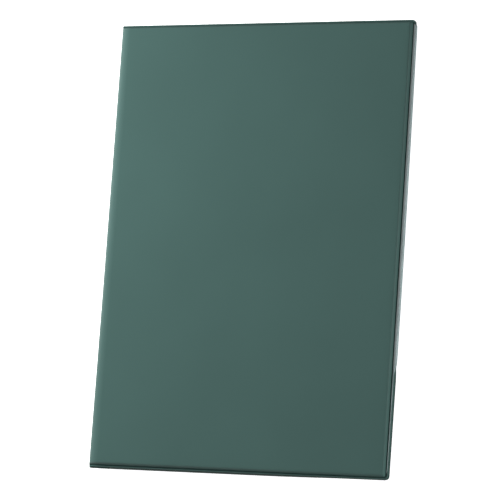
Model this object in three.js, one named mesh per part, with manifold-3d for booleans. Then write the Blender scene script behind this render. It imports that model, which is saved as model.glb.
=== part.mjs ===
// A padded menu cover for A4 sheets, closed and lying on its back cover.
//
// One sheet of soft vinyl makes the front face, the rolled spine and the back face. It is welded round its
// whole rim to a thin lining, which folds inside it. Each cover holds a stiff board with a foam pad between
// skin and lining, and a clear pocket film on its inner side, welded into the rim at three edges and open
// towards the spine. The skin and the lining are modelled as one folded sheet each and then parted at the
// two fold lines beside the spine, where the covers turn.
//
// Frame: millimetres, X from spine to fore edge, Y up the page, Z up from the table. The closed book is
// symmetric about its middle plane, so heights are measured from that plane and the whole is lifted at the
// end until its back face lies at Z = 0.

import * as THREE from "three";
import { mergeVertices } from "three/addons/utils/BufferGeometryUtils.js";
import Module from "manifold-3d";

// Overall size, over the edges of the films
const COVER_HEIGHT = 310;
const COVER_WIDTH = 218;

// Thickness of each sheet and panel of one cover, and the air between the two closed covers
const SKIN = 0.5;
const FOAM = 1.5;
const BOARD = 1.8;
const LINING = 0.3;
const FILM = 0.2;
const COVER_GAP = 0.3;

// Air left round a piece that lies in another, and between the two edges at a fold line
const CLEARANCE = 0.3;

// Welded rim: film edge, rounded bead and pressed groove, from the outside inwards. The film stands out
// further at the fore edge than at head and foot.
const FILM_FLASH = 0.3;
const FORE_FLASH = 0.8;
const BEAD_WIDTH = 0.8;
const BEAD_ROUND = 0.15;
const GROOVE_WIDTH = 1.0;
const GROOVE_DEPTH = 0.3;
const RIM_CORNER = 3;
const TIGHTEST_CORNER = 0.6;

// Plan width of the rounded shoulder between groove and flat face
const SHOULDER_RUN = 3;

// Spine: depth of the soft roll, place of the fold lines and of the pockets' open edges, all from the
// outermost line of the spine. The fold lines run along the skin's outer surface, high enough that the
// spine between them still clears the table when the cover lies open.
const SPINE_ROLL = 8;
const FOLD_INSET = 1.7;
const POCKET_MOUTH = 14;

// Smoothness of the round stretches
const CORNER_STEPS = 8;
const SHOULDER_STEPS = 8;
const GROOVE_STEPS = 6;
const ROLL_STEPS = 40;
const FOLD_STEPS = 16;

const GREEN = 0x4f6b64;
const LINING_GREEN = 0x4a655e;
const CLEAR_FILM = 0xb9c4c2;
const GREYBOARD = 0x9a9284;
const FOAM_WHITE = 0xe6e4da;

// Heights above the middle plane
const filmInner = COVER_GAP / 2;
const filmOuter = filmInner + FILM;
const liningOuter = filmOuter + LINING;
const boardOuter = liningOuter + BOARD;
const foamOuter = boardOuter + FOAM;
const faceOuter = foamOuter + SKIN;
const beadTop = liningOuter + SKIN;

// Distances inwards from the overall edge at head and foot
const grooveStart = FILM_FLASH + BEAD_WIDTH;
const rimWidth = grooveStart + GROOVE_WIDTH;
const faceInset = rimWidth + SHOULDER_RUN;

// Places along X
const spineX = -COVER_WIDTH / 2;
const foreX = COVER_WIDTH / 2;
const skinForeX = foreX - FORE_FLASH + FILM_FLASH;
const rollCentreX = spineX + SPINE_ROLL;
const foldX = spineX + FOLD_INSET;

// A length past every edge, for cutting shapes
const BEYOND = COVER_HEIGHT;

const wasm = await Module();
wasm.setup();

function toSolid(geometry) {
  const bare = geometry.clone();
  bare.deleteAttribute("normal");
  bare.deleteAttribute("uv");
  const merged = mergeVertices(bare, 1e-4);
  return new wasm.Manifold(
    new wasm.Mesh({
      numProp: 3,
      vertProperties: new Float32Array(merged.attributes.position.array),
      triVerts: new Uint32Array(merged.index.array),
    }),
  );
}

function toGeometry(solid) {
  const mesh = solid.getMesh();
  const indexed = new THREE.BufferGeometry();
  indexed.setAttribute("position", new THREE.BufferAttribute(mesh.vertProperties, 3));
  indexed.setIndex(new THREE.BufferAttribute(mesh.triVerts, 1));
  const faceted = indexed.toNonIndexed();
  faceted.computeVertexNormals();
  return faceted;
}

// Everything between two places on each axis, as a cutting block
function block({ x = [-BEYOND, BEYOND], z = [-BEYOND, BEYOND] }) {
  const size = [x[1] - x[0], 2 * BEYOND, z[1] - z[0]];
  const geometry = new THREE.BoxGeometry(...size);
  geometry.translate((x[0] + x[1]) / 2, 0, (z[0] + z[1]) / 2);
  return toSolid(geometry);
}

// Outline of the cover in plan, drawn in by an inset from its sides, with the fore side at edgeX. Its left
// side lies well past the spine, because the roll ends every piece there.
function planOutline(inset, edgeX) {
  const radius = Math.max(RIM_CORNER - inset, TIGHTEST_CORNER);
  const right = edgeX - inset - radius;
  const left = spineX - 2 * faceInset + inset + radius;
  const top = COVER_HEIGHT / 2 - inset - radius;
  const corners = [
    [right, -top, -Math.PI / 2],
    [right, top, 0],
    [left, top, Math.PI / 2],
    [left, -top, Math.PI],
  ];
  const points = [];
  for (const [cx, cy, start] of corners) {
    for (let i = 0; i <= CORNER_STEPS; i += 1) {
      const angle = start + (i / CORNER_STEPS) * (Math.PI / 2);
      points.push([cx + radius * Math.cos(angle), cy + radius * Math.sin(angle)]);
    }
  }
  return points;
}

// A solid through plan outlines stacked from low to high, each given as [inset, height]
function stack(profile, edgeX = skinForeX) {
  const position = [];
  const index = [];
  const count = planOutline(0, edgeX).length;
  for (const [inset, height] of profile) {
    for (const [x, y] of planOutline(inset, edgeX)) {
      position.push(x, y, height);
    }
  }
  for (let ring = 0; ring + 1 < profile.length; ring += 1) {
    for (let i = 0; i < count; i += 1) {
      const a = ring * count + i;
      const b = ring * count + ((i + 1) % count);
      index.push(a, b, b + count, a, b + count, a + count);
    }
  }
  const last = (profile.length - 1) * count;
  for (let i = 1; i + 1 < count; i += 1) {
    index.push(0, i + 1, i);
    index.push(last, last + i, last + i + 1);
  }
  const geometry = new THREE.BufferGeometry();
  geometry.setAttribute("position", new THREE.Float32BufferAttribute(position, 3));
  geometry.setIndex(index);
  return toSolid(geometry);
}

// The same profile below the middle plane, in order from low to high
function bothSides(profile) {
  const below = profile.map(([inset, height]) => [inset, -height]).reverse();
  return below.concat(profile);
}

// Quarter ellipse from an upright start at the rim to a level end at the face
function shoulderCurve(inset, height, run, rise) {
  const points = [];
  for (let i = 0; i <= SHOULDER_STEPS; i += 1) {
    const angle = (i / SHOULDER_STEPS) * (Math.PI / 2);
    points.push([inset + run * (1 - Math.cos(angle)), height + rise * Math.sin(angle)]);
  }
  return points;
}

// A section in X and Z with a half-ellipse for its spine side, drawn out along Y past both ends
function folded(tipX, depth, halfHeight, steps) {
  const section = new THREE.Shape();
  section.moveTo(foreX + BEYOND, -halfHeight);
  section.lineTo(foreX + BEYOND, halfHeight);
  for (let i = 0; i <= steps; i += 1) {
    const angle = Math.PI / 2 + (i / steps) * Math.PI;
    section.lineTo(tipX + depth + depth * Math.cos(angle), halfHeight * Math.sin(angle));
  }
  section.closePath();
  const geometry = new THREE.ExtrudeGeometry(section, { depth: 2 * BEYOND, bevelEnabled: false });
  geometry.translate(0, 0, -BEYOND);
  geometry.rotateX(Math.PI / 2);
  return toSolid(geometry);
}

// Outside of the closed skin over its rim, from the middle plane to the front face
function rimAndShoulder() {
  const profile = [
    [FILM_FLASH, beadTop - BEAD_ROUND],
    [FILM_FLASH + BEAD_ROUND, beadTop],
    [grooveStart, beadTop],
  ];
  for (let i = 1; i < GROOVE_STEPS; i += 1) {
    const across = i / GROOVE_STEPS;
    profile.push([
      grooveStart + GROOVE_WIDTH * across,
      beadTop - GROOVE_DEPTH * Math.sin(Math.PI * across),
    ]);
  }
  return profile.concat(shoulderCurve(rimWidth, beadTop, SHOULDER_RUN, faceOuter - beadTop));
}

// Inside of the skin: open through the rim where the linings lie, then domed over board and foam
function skinCavity() {
  const foot = rimWidth + SKIN;
  return [[-CLEARANCE, liningOuter]].concat(
    shoulderCurve(foot, liningOuter, faceInset - foot, foamOuter - liningOuter),
  );
}

// Inset of the skin's inner surface at a height between lining and foam top
function cavityInset(height) {
  const foot = rimWidth + SKIN;
  const rise = (height - liningOuter) / (foamOuter - liningOuter);
  return foot + (faceInset - foot) * (1 - Math.sqrt(1 - rise * rise));
}

// The skin as one sheet, folded round the spine
function wholeSkin() {
  const outside = stack(bothSides(rimAndShoulder())).intersect(
    folded(spineX, SPINE_ROLL, faceOuter, ROLL_STEPS),
  );
  const inside = stack(bothSides(skinCavity())).intersect(
    folded(spineX + SKIN, SPINE_ROLL - SKIN, foamOuter, ROLL_STEPS),
  );
  return outside.subtract(inside);
}

// The lining as one sheet, folded inside the skin and as large as its rim
function wholeLining() {
  const tipX = spineX + SKIN + CLEARANCE;
  const outside = folded(tipX, liningOuter, liningOuter, FOLD_STEPS);
  const inside = folded(tipX + LINING, filmOuter, filmOuter, FOLD_STEPS);
  const plan = stack([
    [FILM_FLASH, -faceOuter],
    [FILM_FLASH, faceOuter],
  ]);
  return outside.subtract(inside).intersect(plan);
}

// The front cover's share of a folded sheet, and the spine's
const frontSide = block({ x: [foldX + CLEARANCE / 2, BEYOND], z: [0, BEYOND] });
const spineSide = block({ x: [-BEYOND, foldX - CLEARANCE / 2] });

// Board and foam end where the face starts to roll
const panelSide = block({ x: [rollCentreX, BEYOND] });

function board() {
  const inset = cavityInset(boardOuter) + CLEARANCE;
  return stack([
    [inset, liningOuter],
    [inset, boardOuter],
  ]).intersect(panelSide);
}

function foam() {
  const profile = [];
  for (let i = 0; i <= SHOULDER_STEPS; i += 1) {
    const rise = Math.sin((i / SHOULDER_STEPS) * (Math.PI / 2));
    const height = i === SHOULDER_STEPS ? foamOuter : boardOuter + (foamOuter - boardOuter) * rise;
    profile.push([cavityInset(height) + CLEARANCE, height]);
  }
  return stack(profile).intersect(panelSide);
}

function pocketFilm() {
  const profile = [
    [0, filmInner],
    [0, filmOuter],
  ];
  const whole = stack(profile, foreX);
  return whole.intersect(block({ x: [spineX + POCKET_MOUTH, BEYOND] }));
}

function piece(name, solid, look) {
  const mesh = new THREE.Mesh(toGeometry(solid), new THREE.MeshStandardMaterial(look));
  mesh.name = name;
  return mesh;
}

const vinyl = { color: GREEN, roughness: 0.5, metalness: 0 };
const liningVinyl = { color: LINING_GREEN, roughness: 0.6, metalness: 0 };
const film = { color: CLEAR_FILM, roughness: 0.15, metalness: 0, transparent: true, opacity: 0.4 };
const greyboard = { color: GREYBOARD, roughness: 0.9, metalness: 0 };
const softFoam = { color: FOAM_WHITE, roughness: 1, metalness: 0 };

const skinSheet = wholeSkin();
const liningSheet = wholeLining();

// One cover, above the middle plane
function cover(side) {
  const group = new THREE.Group();
  group.add(piece(`${side}_skin`, skinSheet.intersect(frontSide), vinyl));
  group.add(piece(`${side}_foam`, foam(), softFoam));
  group.add(piece(`${side}_board`, board(), greyboard));
  group.add(piece(`${side}_lining`, liningSheet.intersect(frontSide), liningVinyl));
  group.add(piece(`${side}_pocket`, pocketFilm(), film));
  return group;
}

// The spine between the fold lines
function spine() {
  const group = new THREE.Group();
  group.add(piece("spine_skin", skinSheet.intersect(spineSide), vinyl));
  group.add(piece("spine_lining", liningSheet.intersect(spineSide), liningVinyl));
  return group;
}

const frontCover = cover("front");
const backCover = cover("back");
backCover.scale.z = -1;

const menuCover = new THREE.Group();
menuCover.add(backCover, spine(), frontCover);
menuCover.position.z = faceOuter;

export default menuCover;
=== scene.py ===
"""A padded menu cover of dark green soft vinyl, closed, lying on its back cover on a pale floor.

The skin and the lining are one folded sheet each. Each is drawn as a front half and a back half that meet
at the middle line of the spine.
"""

import math
from collections import namedtuple

import bmesh
import bpy
from mathutils import Matrix, Vector, noise


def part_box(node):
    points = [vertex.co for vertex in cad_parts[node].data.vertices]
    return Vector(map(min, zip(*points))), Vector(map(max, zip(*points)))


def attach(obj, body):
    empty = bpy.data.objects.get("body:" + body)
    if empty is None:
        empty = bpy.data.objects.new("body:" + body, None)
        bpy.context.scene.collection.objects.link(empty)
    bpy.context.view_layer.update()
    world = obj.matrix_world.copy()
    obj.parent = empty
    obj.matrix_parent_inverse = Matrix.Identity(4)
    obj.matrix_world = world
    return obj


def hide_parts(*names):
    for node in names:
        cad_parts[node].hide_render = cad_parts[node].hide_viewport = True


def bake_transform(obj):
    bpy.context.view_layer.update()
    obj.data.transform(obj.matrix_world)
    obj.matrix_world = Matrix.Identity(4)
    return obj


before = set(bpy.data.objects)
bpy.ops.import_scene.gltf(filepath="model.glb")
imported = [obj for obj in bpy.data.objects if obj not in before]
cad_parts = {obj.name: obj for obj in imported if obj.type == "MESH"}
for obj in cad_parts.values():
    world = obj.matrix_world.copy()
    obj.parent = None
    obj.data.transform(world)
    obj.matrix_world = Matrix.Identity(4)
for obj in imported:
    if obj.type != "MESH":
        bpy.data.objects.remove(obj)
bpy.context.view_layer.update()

MM = 0.001

# Sizes read from the frame, in millimetres, with heights measured from the middle plane of the closed book


def box_mm(node):
    low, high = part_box(node)
    return Vector(low) / MM, Vector(high) / MM


_, skin_high = box_mm("front_skin")
film_low, film_high = box_mm("front_pocket")
lining_low, lining_high = box_mm("front_lining")
board_low, _ = box_mm("front_board")
spine_low, _ = box_mm("spine_skin")
spine_lining_low, _ = box_mm("spine_lining")

MIDDLE = skin_high.z / 2
SPINE_X = spine_low.x
FORE_X = film_high.x
HALF_HEIGHT = film_high.y
FACE = skin_high.z - MIDDLE
LINING_TOP = lining_high.z - MIDDLE
LINING_UNDER = lining_low.z - MIDDLE
FILM_TOP = film_high.z - MIDDLE
FILM_UNDER = film_low.z - MIDDLE
ROLL_X = board_low.x
ROLL = ROLL_X - SPINE_X
FLASH = HALF_HEIGHT - skin_high.y
SKIN_FORE_X = skin_high.x + FLASH
FORE_FLASH = FORE_X - skin_high.x
MOUTH_X = film_low.x
LINING_TIP_X = spine_lining_low.x

# Sizes of the rim, in millimetres. As in the photograph, the bead is a little wider than on the frame's plain
# skin, the pressed groove narrower and deeper, and the shoulder steeper.
SKIN = 0.5
BEAD = 0.9
GROOVE = 0.7
GROOVE_DEPTH = 0.42
RIM_CORNER = 3.0
SHOULDER = 1.9

BEAD_TOP = LINING_TOP + SKIN
GROOVE_IN = FLASH + BEAD
RIM = GROOVE_IN + GROOVE

# The bead's rounded outer edge, and how full the groove's section is: a sine to this power
BEAD_ROUND = 0.18
GROOVE_FULLNESS = 0.8

# The steep part of the shoulder: its share of the height, and of a quarter turn. The soft crown goes on
# inwards from it and levels off, by this power, at the crown's end.
SHOULDER_SHARE = 0.95
SHOULDER_TURN = 0.96
CROWN_POWER = 2.4
CROWN_END = 10.0

# The skin's thin lip under the bead, along the lower fore edge: its thickness, how far it stands out, how
# round it is, how much painted shade darkens it, and how far inside the fore edge it starts
LIP_THICK = 0.12
LIP_REACH = 0.80
LIP_ROUND = 0.06
LIP_SHADE = 0.7
LIP_START = 3.0

# The film's squeezed edge covers the rim's bead along the fore edge, from the head down to this place
SQUEEZE_HEAD = HALF_HEIGHT - 3.0
SQUEEZE_FOOT = -81.0
SQUEEZE_FADE = 14.0

# Below that place the film is cut back, in this depth of its edge, until this much of its flash is left
CUT_RUN = 2.0
CUT_LEFT = 0.05

# The spine's ends are rounded in a strip beside its outermost line, and the strip spreads towards the foot.
# The spread grows from nothing at that line.
HEAD_END = 0.7
FOOT_END = 1.5
SPINE_STRIP = 6.0
SPINE_SPREAD = 0.5
SPREAD_START = 0.8

# At the foot the front cover stops short, from just beside the spine. The back cover stands out, most of all
# near the spine: it loses a share of that along X. Both fade out a little above the foot.
FRONT_SHORT = 0.35
SHORT_START = 1.5
BACK_LONG = 0.70
LONG_LOSS = 0.85
LOSS_X = 20.0
LOSS_RUN = 70.0
SLIP_HEIGHT = 12.0
SLIP_FADE = 8.0

# Between its ends the fore edge bows out. Only the rim's outer part does, this deep, and the bow sets in over
# the rise.
FORE_BOW = 0.55
BOW_DEPTH = 2.4
BOW_RISE = 1.7

# Camera, as the photograph saw the cover: place, reach in metres, lens and sensor in millimetres
CAMERA_AT = Vector((0.7262, -0.2635, 1.7334))
CAMERA_BACK = Vector((0.384059, -0.137614, 0.912996)).normalized()
CAMERA_UP = Vector((-0.010727, 0.988099, 0.153446))
CAMERA_LENS = 200.8
CAMERA_SENSOR = 36
CAMERA_REACH = 100


def smooth(t):
    t = min(max(t, 0.0), 1.0)
    return t * t * (3 - 2 * t)


def make_camera():
    data = bpy.data.cameras.new("camera")
    data.lens = CAMERA_LENS
    data.sensor_width = CAMERA_SENSOR
    data.clip_end = CAMERA_REACH
    camera = bpy.data.objects.new("camera", data)
    right = CAMERA_UP.cross(CAMERA_BACK).normalized()
    up = CAMERA_BACK.cross(right)
    turn = Matrix((right, up, CAMERA_BACK)).transposed().to_4x4()
    camera.matrix_world = Matrix.Translation(CAMERA_AT) @ turn
    bpy.context.scene.collection.objects.link(camera)
    bpy.context.scene.camera = camera


# Plan of one cover: rings that follow the rim, each an open line from the spine's foot end round the fore
# edge to the spine's head end, and a grid inside the last ring

CORNER_STEPS = 10
ROLL_COLUMNS = 20
FOLD_COLUMNS = 8
FOLD_STEP = 0.8
FACE_STEP = 5.0
ROW_STEP = 3.0
INNER_EDGE = CROWN_END + 4

# The radius to which a corner tightens before it ends square
TIGHT_CORNER = 0.6


def evenly(first, last, step):
    """Places from just past the first to the last, about a step apart."""
    count = max(1, round((last - first) / step))
    return [first + (last - first) * i / count for i in range(1, count + 1)]


def skin_columns():
    """Places along X from the spine's outermost line to near the fore edge."""
    angles = [i / ROLL_COLUMNS * math.pi / 2 for i in range(ROLL_COLUMNS + 1)]
    roll = [ROLL_X - ROLL * math.cos(angle) for angle in angles]
    return roll + evenly(ROLL_X, SKIN_FORE_X - INNER_EDGE, FACE_STEP)


def lining_columns():
    """Places along X round the lining's fold, close together up to the roll's end, then wider."""
    angles = [i / FOLD_COLUMNS * math.pi / 2 for i in range(FOLD_COLUMNS + 1)]
    fold = [LINING_TIP_X + LINING_TOP * (1 - math.cos(angle)) for angle in angles]
    near = evenly(fold[-1], ROLL_X, FOLD_STEP)
    return fold + near + evenly(ROLL_X, SKIN_FORE_X - INNER_EDGE, FACE_STEP)


def film_columns():
    return [MOUTH_X] + evenly(MOUTH_X, FORE_X - INNER_EDGE, FACE_STEP)


def rows():
    """Places along Y between the two ends, for the fore edge."""
    half = HALF_HEIGHT - INNER_EDGE
    return [-half] + evenly(-half, half, ROW_STEP)


ROWS = rows()


def corner_radius(inset):
    """The corner's radius at an inset: it tightens to a small one and ends square inside the face."""
    start = RIM_CORNER - TIGHT_CORNER
    if inset <= start:
        return RIM_CORNER - inset
    return TIGHT_CORNER * max(0.0, 1 - (inset - start) / (CROWN_END - start))


def ring(inset, fore_x, columns):
    """The plan line at an inset from the edges."""
    radius = corner_radius(inset)
    right = fore_x - inset
    edge = HALF_HEIGHT - inset
    points = [(x, -edge) for x in columns]
    for i in range(CORNER_STEPS + 1):
        angle = -math.pi / 2 + i / CORNER_STEPS * math.pi / 2
        points.append((right - radius + radius * math.cos(angle), -edge + radius + radius * math.sin(angle)))
    points += [(right, y) for y in ROWS]
    for i in range(CORNER_STEPS + 1):
        angle = i / CORNER_STEPS * math.pi / 2
        points.append((right - radius + radius * math.cos(angle), edge - radius + radius * math.sin(angle)))
    points += [(x, edge) for x in reversed(columns)]
    return points


def grid(inset, fore_x, columns):
    """Columns and rows of the rectangle inside the ring at an inset."""
    edge = HALF_HEIGHT - inset
    return columns + [fore_x - inset], [-edge] + ROWS + [edge]


# One line of a profile: its inset from the edges, its height, how far it stands out along the lower fore
# edge, and how much painted shade darkens its colour
Step = namedtuple("Step", "inset height out weld", defaults=(0.0, 0.0))


def settle(x, y, side):
    """Where a point comes to lie in the finished book, by its side: 1 is the front, -1 the back."""
    end = max(0.0, HALF_HEIGHT - abs(y))
    radius = HEAD_END if y > 0 else FOOT_END
    near_spine = 1 - smooth((x - SPINE_X) / SPINE_STRIP)
    long = BACK_LONG * (1 - LONG_LOSS * smooth((x - LOSS_X) / LOSS_RUN))
    slip = long if side < 0 else long - (long + FRONT_SHORT) * smooth((x - SPINE_X) / SHORT_START)
    x -= SPINE_SPREAD * smooth(-y / HALF_HEIGHT) * near_spine * min(1.0, (x - SPINE_X) / SPREAD_START)
    x += FORE_BOW * (1 - (y / HALF_HEIGHT) ** 2) * smooth((x - FORE_X + BOW_DEPTH) / BOW_RISE)
    if end < radius:
        x += (radius - math.sqrt(radius**2 - (radius - end) ** 2)) * near_spine
    return x, y - slip * smooth((SLIP_HEIGHT - HALF_HEIGHT - y) / SLIP_FADE)


class Sheet:
    """Points and faces of one sheet, built ring by ring, with heights from the middle plane."""

    def __init__(self, fore_x, columns, place):
        self.fore_x = fore_x
        self.columns = columns
        self.place = place
        self.points = []
        self.painted_shades = []
        self.faces = []

    def rings(self, profile):
        count = len(ring(0, self.fore_x, self.columns))
        base = len(self.points)
        for step in profile:
            for x, y in ring(step.inset, self.fore_x, self.columns):
                self.points.append(self.place(x, y, step))
                self.painted_shades.append(step.weld)
        for k in range(len(profile) - 1):
            for i in range(count - 1):
                a = base + k * count + i
                self.faces.append((a, a + 1, a + 1 + count, a + count))

    def fill(self, step, under=False):
        xs, ys = grid(step.inset, self.fore_x, self.columns)
        base = len(self.points)
        for y in ys:
            for x in xs:
                self.points.append(self.place(x, y, step))
                self.painted_shades.append(step.weld)
        wide = len(xs)
        for j in range(len(ys) - 1):
            for i in range(wide - 1):
                a = base + j * wide + i
                face = (a, a + 1, a + 1 + wide, a + wide)
                self.faces.append(tuple(reversed(face)) if under else face)

    def build(self, name, side, material, nodes, closed=False):
        """The mesh object; side 1 is the front half, -1 the back. A closed one has its open side filled."""
        mesh = bpy.data.meshes.new(name)
        places = []
        for x, y, z in self.points:
            x, y = settle(x, y, side)
            places.append((x * MM, y * MM, (MIDDLE + side * z) * MM))
        mesh.from_pydata(places, [], self.faces)
        # A share of painted shade for each point, which darkens the vinyl's colour along the grooves, edges
        # and lip
        mesh.attributes.new("weld", "FLOAT", "POINT").data.foreach_set("value", self.painted_shades)
        work = bmesh.new()
        work.from_mesh(mesh)
        bmesh.ops.remove_doubles(work, verts=work.verts, dist=1e-7)
        if closed:
            bmesh.ops.holes_fill(work, edges=[edge for edge in work.edges if edge.is_boundary])
        if side < 0:
            bmesh.ops.reverse_faces(work, faces=work.faces)
        work.to_mesh(mesh)
        work.free()
        for polygon in mesh.polygons:
            polygon.use_smooth = True
        mesh.materials.append(material)
        piece = bpy.data.objects.new(name, mesh)
        bpy.context.scene.collection.objects.link(piece)
        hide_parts(*nodes)
        return piece


def bend(piece):
    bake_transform(piece)


# The skin


def roll_height(x):
    """Half thickness of the closed book at a place along X, as the spine's roll sets it."""
    if x >= ROLL_X:
        return FACE
    share = min(1.0, (ROLL_X - x) / ROLL)
    return FACE * math.sqrt(1 - share * share)


def squeeze(y):
    """How far the film's melted edge covers the bead at a place along the fore edge, from 0 to 1."""
    return smooth((y - SQUEEZE_FOOT) / SQUEEZE_FADE + 0.5)


def lip(x, y):
    """How far the skin's thin lip stands out at a place, from 0 to 1: only along the lower fore edge."""
    return (1 - squeeze(y)) * smooth(x - FORE_X + LIP_START)


def skin_point(x, y, step):
    """A point of the skin, lowered towards the spine by the roll."""
    limit = roll_height(x)
    x += step.out * lip(x, y)
    if step.height <= BEAD_TOP or limit <= BEAD_TOP:
        return x, y, min(step.height, limit)
    share = (limit - BEAD_TOP) / (FACE - BEAD_TOP)
    return x, y, BEAD_TOP + (step.height - BEAD_TOP) * share


def skin_profile():
    """Insets and heights of the skin from under the rim over bead, groove and shoulder to the face."""
    edge = FLASH
    profile = [
        Step(RIM + SKIN, LINING_TOP),
        # The lip is painted darker, as painted shade beside the bead
        Step(edge + 0.12, LINING_TOP, LIP_REACH - LIP_ROUND, LIP_SHADE),
        Step(edge + 0.03, LINING_TOP + LIP_THICK / 3, LIP_REACH, LIP_SHADE),
        Step(edge, LINING_TOP + LIP_THICK, LIP_REACH - LIP_ROUND, LIP_SHADE),
        Step(edge, LINING_TOP + LIP_THICK + 0.05, 0.10),
        Step(edge, BEAD_TOP - BEAD_ROUND),
        Step(edge + 0.05, BEAD_TOP - BEAD_ROUND / 3),
        Step(edge + 0.16, BEAD_TOP),
        Step(edge + BEAD * 0.5, BEAD_TOP + 0.03),
        Step(edge + BEAD * 0.85, BEAD_TOP),
    ]
    steps = 10
    for i in range(1, steps):
        across = i / steps
        dip = math.sin(math.pi * across)
        height = BEAD_TOP - GROOVE_DEPTH * dip**GROOVE_FULLNESS
        # The groove's colour is darkened by its depth, as painted shade
        profile.append(Step(GROOVE_IN + GROOVE * across, height, 0.0, dip))
    rise = (FACE - BEAD_TOP) * SHOULDER_SHARE
    steps = 14
    for i in range(steps + 1):
        angle = i / steps * math.pi / 2 * SHOULDER_TURN
        profile.append(Step(RIM + SHOULDER * (1 - math.cos(angle)), BEAD_TOP + rise * math.sin(angle)))
    start = profile[-1]
    steps = 8
    for i in range(1, steps + 1):
        t = i / steps
        inset = start.inset + (CROWN_END - start.inset) * t
        lift = (FACE - start.height) * (1 - (1 - t) ** CROWN_POWER)
        profile.append(Step(inset, start.height + lift))
    return profile


def make_skin(cover, side, material):
    profile = skin_profile()
    sheet = Sheet(SKIN_FORE_X, skin_columns(), skin_point)
    sheet.rings(profile)
    sheet.fill(profile[-1])
    piece = sheet.build(f"{cover}_vinyl", side, material, (f"{cover}_skin", "spine_skin"))
    bend(piece)


# The lining

# The depth of the weld line in the lining, and the steps across it
LINING_GROOVE = 0.12
LINING_STEPS = 8


def lining_point(x, y, step):
    """A point of the lining, which turns round its fold at the spine."""
    turn_x = LINING_TIP_X + LINING_TOP
    if x >= turn_x:
        return x, y, step.height
    across = (turn_x - x) / LINING_TOP
    return turn_x - across * step.height, y, step.height * math.sqrt(max(0.0, 1 - across * across))


def make_lining(cover, side, material):
    """Outer face, edge and inner face, where the welded seam shows as a shallow groove. The edge and the seam
    are painted darker, as painted shade.
    """
    sheet = Sheet(SKIN_FORE_X, lining_columns(), lining_point)
    line = []
    for i in range(LINING_STEPS + 1):
        across = i / LINING_STEPS
        dip = math.sin(math.pi * across)
        line.append(Step(GROOVE_IN + GROOVE * across, LINING_UNDER + LINING_GROOVE * dip, 0.0, dip))
    profile = [
        Step(CROWN_END, LINING_TOP),
        # The lining's edge and the seam beside it are painted darker, as painted shade
        Step(FLASH, LINING_TOP, 0.0, 1.0),
        Step(FLASH - 0.04, (LINING_TOP + LINING_UNDER) / 2, 0.0, 1.0),
        Step(FLASH, LINING_UNDER, 0.0, 1.0),
        Step(GROOVE_IN - 0.1, LINING_UNDER, 0.0, 0.8),
        *line,
        Step(CROWN_END, LINING_UNDER),
    ]
    sheet.rings(list(reversed(profile)))
    sheet.fill(profile[-1], under=True)
    nodes = (f"{cover}_lining", "spine_lining")
    piece = sheet.build(f"{cover}_lining_sheet", side, material, nodes)
    bend(piece)


# The pocket film and its melted edge

# How much lower than the frame's film the drawn one ends, so that it lies inside it
FILM_SINK = 0.02

# The melted edge: its end at the foot, the inset to which it covers the rim, its height above the bead, how
# fast and how much it waves, its steps along the edge and the length over which its ends taper
EDGE_FOOT = RIM_CORNER + 1.0 - HALF_HEIGHT
EDGE_INSET = FORE_FLASH + BEAD + 0.02
EDGE_CREST = 0.12
WAVES = 0.12
WAVE_HEIGHT = 0.03
EDGE_STEPS = 240
EDGE_TAPER = 1.5

# How much painted light the first points of the edge's section get, from its inner foot over to the middle of
# its crest, where the shoulder's shadow falls
EDGE_PAINTED_LIGHT = (1.0, 1.0, 1.0, 0.4)


def film_point(x, y, step):
    """A point of the film, whose fore edge is cut back where the skin's lip stands out."""
    near = x - FORE_X + CUT_RUN
    if near > 0:
        x -= near / CUT_RUN * (FORE_FLASH - CUT_LEFT) * (1 - squeeze(y))
    return x, y, step.height


def make_film(cover, side, material):
    """A clear sheet that stands out past the skin all round the rim."""
    sheet = Sheet(FORE_X, film_columns(), film_point)
    top = FILM_TOP - FILM_SINK
    profile = [
        Step(CROWN_END, FILM_UNDER),
        Step(0.10, FILM_UNDER),
        Step(0.03, FILM_UNDER + 0.03),
        Step(0.0, (FILM_UNDER + top) / 2),
        Step(0.03, top - 0.03),
        Step(0.10, top),
        Step(CROWN_END, top),
    ]
    sheet.rings(profile)
    sheet.fill(profile[-1])
    sheet.fill(profile[0], under=True)
    piece = sheet.build(f"{cover}_film", side, material, (f"{cover}_pocket",), closed=True)
    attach(piece, f"{cover}_cover")


def edge_section(y, size):
    """Insets from the fore edge and heights of the melted edge, all round one cut through it."""
    wide = squeeze(y)
    wave = noise.noise(Vector((0.3, y * WAVES, 1.7)))
    outer = (1 - wide) * (FORE_FLASH + 0.22) + 0.02 + 0.02 * wave
    inner = EDGE_INSET + WAVE_HEIGHT * wave
    crest = BEAD_TOP + EDGE_CREST + WAVE_HEIGHT * wave
    base = BEAD_TOP - 0.10
    foot = base + wide * (FILM_UNDER - BEAD_TOP + 0.12)
    under = max(outer + 0.05, FORE_FLASH + 0.02)
    points = [
        (inner, base),
        (inner - 0.02, crest - 0.08),
        (inner - 0.12, crest - 0.02),
        ((inner + outer) / 2, crest),
        (outer + 0.22, crest - 0.03),
        (outer + 0.07, crest - 0.10),
        (outer, base - 0.08 * wide),
        (outer, foot + 0.05 * wide),
        (outer + 0.04, foot),
        (under, foot),
        (under, base),
    ]
    return [(inner + (a - inner) * size, base + (b - base) * size) for a, b in points]


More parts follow.
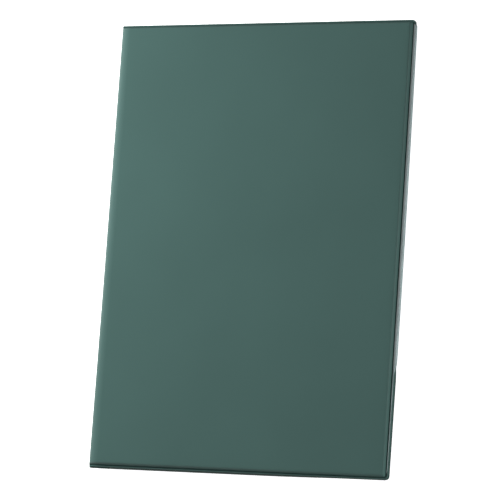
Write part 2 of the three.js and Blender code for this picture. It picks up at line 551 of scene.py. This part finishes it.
def make_film_edge(cover, side, material):
    """The film's melted edge: a milky strand on the bead and down its outer side."""
    length = SQUEEZE_HEAD - EDGE_FOOT
    points = []
    painted_light = []
    faces = []
    for k in range(EDGE_STEPS + 1):
        along = length * k / EDGE_STEPS
        size = math.sqrt(min(1.0, (min(along, length - along) + 0.05) / EDGE_TAPER))
        y = EDGE_FOOT + along
        section = edge_section(y, size)
        for inset, height in section:
            x, end = settle(FORE_X - inset, y, side)
            points.append((x * MM, end * MM, (MIDDLE + side * height) * MM))
        wide = len(section)
        # The inner side of the edge is painted lighter, as painted light, only where the edge covers the bead
        painted_light += [share * squeeze(y) for share in EDGE_PAINTED_LIGHT] + [0.0] * (wide - len(EDGE_PAINTED_LIGHT))
        if k:
            base = (k - 1) * wide
            for i in range(wide):
                j = (i + 1) % wide
                face = (base + i, base + j, base + wide + j, base + wide + i)
                faces.append(face if side < 0 else tuple(reversed(face)))
    last = EDGE_STEPS * wide
    ends = (tuple(range(wide)), tuple(reversed(range(last, last + wide))))
    faces += [face if side > 0 else tuple(reversed(face)) for face in ends]
    mesh = bpy.data.meshes.new(f"{cover}_film_edge")
    mesh.from_pydata(points, [], faces)
    mesh.attributes.new("painted_light", "FLOAT", "POINT").data.foreach_set("value", painted_light)
    for polygon in mesh.polygons:
        polygon.use_smooth = len(polygon.vertices) == 4
    mesh.materials.append(material)
    piece = bpy.data.objects.new(f"{cover}_film_edge", mesh)
    bpy.context.scene.collection.objects.link(piece)
    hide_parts(f"{cover}_pocket")
    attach(piece, f"{cover}_cover")


# Materials

SKIN_COLOUR = (0.0515, 0.105, 0.0950)
LINING_COLOUR = (0.046, 0.098, 0.088)
EDGE_COLOUR = (0.37, 0.47, 0.47)
# Painted light: a near white that lightens the inner side of the film's edge
PAINTED_LIGHT_COLOUR = (0.84, 0.94, 0.94)
FILM_COLOUR = (0.24, 0.28, 0.27)
BOARD_DARK = (0.22, 0.20, 0.17)
BOARD_LIGHT = (0.42, 0.39, 0.33)
FOAM_DARK = (0.60, 0.58, 0.52)
FOAM_LIGHT = (0.86, 0.85, 0.80)

# The colour under painted shade in the grooves, on the edges and on the lip, as a share of the colour beside
# it
PAINTED_SHADE_SHARE = 0.75

# How much the vinyl's roughness changes from place to place, and the height of its grain in metres
GLOSS_CHANGE = 0.03
GRAIN_HEIGHT = 0.00005


def new_material(name):
    material = bpy.data.materials.new(name)
    material.use_nodes = True
    tree = material.node_tree
    return material, tree, tree.nodes["Principled BSDF"]


def node(tree, kind, **values):
    made = tree.nodes.new(kind)
    for key, value in values.items():
        if key in made.inputs:
            made.inputs[key].default_value = value
        else:
            setattr(made, key, value)
    return made


def link(tree, source, target):
    tree.links.new(source, target)


def pattern(tree, kind, output, **values):
    """A texture node's output, with the texture laid in the object's own space."""
    place = tree.nodes.new("ShaderNodeTexCoord")
    made = node(tree, kind, **values)
    link(tree, place.outputs["Object"], made.inputs["Vector"])
    return made.outputs[output]


def shaded(colour, share):
    return tuple(c * share for c in colour)


def colour_ramp(tree, value, dark, light, start=0.0, end=1.0):
    """A colour that runs from the dark to the light one as the value goes from start to end."""
    ramp = tree.nodes.new("ShaderNodeValToRGB")
    for stop, position, colour in zip(ramp.color_ramp.elements, (start, end), (dark, light)):
        stop.position = position
        stop.color = (*colour, 1)
    link(tree, value, ramp.inputs["Fac"])
    return ramp.outputs["Color"]


def tinted(tree, plain, attribute, colour):
    """The plain colour, which turns into the other one where the mesh's attribute goes from 0 to 1."""
    share = tree.nodes.new("ShaderNodeAttribute")
    share.attribute_name = attribute
    tint = node(tree, "ShaderNodeMix", data_type="RGBA")
    link(tree, share.outputs["Fac"], tint.inputs["Factor"])
    link(tree, plain, tint.inputs["A"])
    tint.inputs["B"].default_value = (*colour, 1)
    return tint.outputs["Result"]


def vinyl_material(name, colour, roughness, grain):
    """Soft satin vinyl: a very fine press grain, faint cloudiness of colour and gloss, and painted shade
    where the mesh's shade attribute is set.
    """
    material, tree, shader = new_material(name)
    clouds = pattern(tree, "ShaderNodeTexNoise", "Fac", Scale=14.0, Detail=3.0, Roughness=0.5)
    plain = colour_ramp(tree, clouds, shaded(colour, 0.97), shaded(colour, 1.03), 0.3, 0.7)
    # Painted shade: the colour darkens where the mesh's shade attribute is set
    link(tree, tinted(tree, plain, "weld", shaded(colour, PAINTED_SHADE_SHARE)), shader.inputs["Base Color"])
    gloss = node(tree, "ShaderNodeMapRange")
    gloss.inputs["To Min"].default_value = roughness - GLOSS_CHANGE
    gloss.inputs["To Max"].default_value = roughness + GLOSS_CHANGE
    link(tree, clouds, gloss.inputs["Value"])
    link(tree, gloss.outputs["Result"], shader.inputs["Roughness"])
    pores = pattern(tree, "ShaderNodeTexVoronoi", "Distance", Scale=1500.0)
    bump = node(tree, "ShaderNodeBump", Strength=grain, Distance=GRAIN_HEIGHT)
    link(tree, pores, bump.inputs["Height"])
    link(tree, bump.outputs["Normal"], shader.inputs["Normal"])
    shader.inputs["Specular IOR Level"].default_value = 0.45
    return material


def film_material():
    material, _, shader = new_material("clear_film")
    shader.inputs["Base Color"].default_value = (*FILM_COLOUR, 1)
    shader.inputs["Roughness"].default_value = 0.12
    shader.inputs["Alpha"].default_value = 0.16
    return material


def film_edge_material():
    """Clear vinyl that melted and set again: milky, in faint runs along the edge. Near its inner foot and
    crest it is painted lighter, as painted light where the shoulder's shadow falls.
    """
    material, tree, shader = new_material("milky_film_and_painted_light")
    runs = pattern(tree, "ShaderNodeTexNoise", "Fac", Scale=60.0, Detail=3.0)
    plain = colour_ramp(tree, runs, shaded(EDGE_COLOUR, 0.9), shaded(EDGE_COLOUR, 1.1), 0.3, 0.7)
    link(tree, tinted(tree, plain, "painted_light", PAINTED_LIGHT_COLOUR), shader.inputs["Base Color"])
    shader.inputs["Roughness"].default_value = 0.35
    return material


def board_material():
    """Grey board: short fibres and specks."""
    material, tree, shader = new_material("grey_board")
    fibres = pattern(tree, "ShaderNodeTexNoise", "Fac", Scale=900.0, Detail=6.0)
    link(tree, colour_ramp(tree, fibres, BOARD_DARK, BOARD_LIGHT), shader.inputs["Base Color"])
    shader.inputs["Roughness"].default_value = 0.95
    return material


def foam_material():
    """White foam with small open cells."""
    material, tree, shader = new_material("white_foam")
    cells = pattern(tree, "ShaderNodeTexVoronoi", "Distance", Scale=1200.0)
    link(tree, colour_ramp(tree, cells, FOAM_DARK, FOAM_LIGHT), shader.inputs["Base Color"])
    shader.inputs["Roughness"].default_value = 1.0
    return material


# The floor, the lights and the studio round them

# The floor's size, and how far it lies below the cover, in metres
FLOOR_SIZE = 100.0
FLOOR_DROP = 0.0002


def floor_material():
    material, _, shader = new_material("floor_white")
    shader.inputs["Base Color"].default_value = (0.9, 0.9, 0.9, 1)
    shader.inputs["Roughness"].default_value = 0.8
    shader.inputs["Emission Color"].default_value = (1, 1, 1, 1)
    shader.inputs["Emission Strength"].default_value = 1.0
    return material


def make_floor():
    bpy.ops.mesh.primitive_plane_add(size=FLOOR_SIZE, location=(0, 0, -FLOOR_DROP))
    floor = bpy.context.object
    floor.name = "floor"
    floor.data.materials.append(floor_material())
    floor.visible_diffuse = False
    floor.visible_glossy = False


# Places, sizes and strengths of the lights, in metres and watts
KEY_AT = (-0.60, 0.19, 0.42)
KEY_SIZE = 0.4
KEY_POWER = 9.2
FILL_AT = (1.05, -0.42, 0.14)
FILL_SIZE = 0.3
FILL_POWER = 10.0
BOX_AT = (1.0, 0.1, 0.17)
BOX_SIZE = 0.26
BOX_POWER = 1.2

# Strengths of the studio's parts
CEILING = 0.17
LEFT_WALL = 2.0
GROUND = 0.05

# Where the studio's parts fade in, as the height or the X of the direction looked in
CEILING_FROM, CEILING_TO = -0.05, 0.15
WALL_X_FROM, WALL_X_TO = -0.45, -0.65
WALL_TOP_FROM, WALL_TOP_TO = 0.35, 0.15


def area_light(name, place, size, power):
    """A round light that faces the middle of the cover."""
    data = bpy.data.lights.new(name, "AREA")
    data.shape = "DISK"
    data.size = size
    data.energy = power
    light = bpy.data.objects.new(name, data)
    turn = (-Vector(place)).to_track_quat("-Z", "Y").to_matrix().to_4x4()
    light.matrix_world = Matrix.Translation(place) @ turn
    bpy.context.scene.collection.objects.link(light)
    return light


def maths(tree, operation, first, second):
    """A Math node's result; first and second are numbers or sockets."""
    made = tree.nodes.new("ShaderNodeMath")
    made.operation = operation
    for socket, value in zip(made.inputs, (first, second)):
        if isinstance(value, (int, float)):
            socket.default_value = value
        else:
            link(tree, value, socket)
    return made.outputs["Value"]


def ramped(tree, value, low, high):
    """The value as a share from 0 to 1 between two of its sizes."""
    made = tree.nodes.new("ShaderNodeMapRange")
    made.inputs["From Min"].default_value = low
    made.inputs["From Max"].default_value = high
    link(tree, value, made.inputs["Value"])
    return made.outputs["Result"]


def make_world():
    """A pale studio: a ceiling, a bright wall low at the left, and dim below."""
    world = bpy.data.worlds.new("studio")
    world.use_nodes = True
    tree = world.node_tree
    place = tree.nodes.new("ShaderNodeTexCoord")
    split = tree.nodes.new("ShaderNodeSeparateXYZ")
    link(tree, place.outputs["Generated"], split.inputs["Vector"])
    across, height = split.outputs["X"], split.outputs["Z"]
    ceiling = maths(tree, "MULTIPLY", ramped(tree, height, CEILING_FROM, CEILING_TO), CEILING)
    beside = ramped(tree, across, WALL_X_FROM, WALL_X_TO)
    left = maths(tree, "MULTIPLY", beside, ramped(tree, height, WALL_TOP_FROM, WALL_TOP_TO))
    level = maths(tree, "ADD", ceiling, maths(tree, "MULTIPLY", left, LEFT_WALL))
    link(tree, maths(tree, "ADD", level, GROUND), tree.nodes["Background"].inputs["Strength"])
    tree.nodes["Background"].inputs["Color"].default_value = (1, 1, 1, 1)
    bpy.context.scene.world = world


def make_lights():
    """A key light near the left, a low fill light from the right, and a box that only shows in the gloss."""
    key = area_light("key", KEY_AT, KEY_SIZE, KEY_POWER)
    key.visible_glossy = False
    fill = area_light("fill", FILL_AT, FILL_SIZE, FILL_POWER)
    fill.visible_glossy = False
    box = area_light("gloss_box", BOX_AT, BOX_SIZE, BOX_POWER)
    box.visible_diffuse = False
    make_world()
    bpy.context.scene.view_settings.view_transform = "Standard"


def paint_nodes(names, material):
    for name in names:
        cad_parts[name].material_slots[0].material = material


make_camera()
skin_vinyl = vinyl_material("skin_vinyl", SKIN_COLOUR, 0.5, 0.25)
lining_vinyl = vinyl_material("lining_vinyl", LINING_COLOUR, 0.55, 0.4)
clear_film = film_material()
milky_film_and_painted_light = film_edge_material()
for cover, side in (("front", 1), ("back", -1)):
    make_skin(cover, side, skin_vinyl)
    make_lining(cover, side, lining_vinyl)
    make_film(cover, side, clear_film)
    make_film_edge(cover, side, milky_film_and_painted_light)
paint_nodes(("front_board", "back_board"), board_material())
paint_nodes(("front_foam", "back_foam"), foam_material())
make_floor()
make_lights()
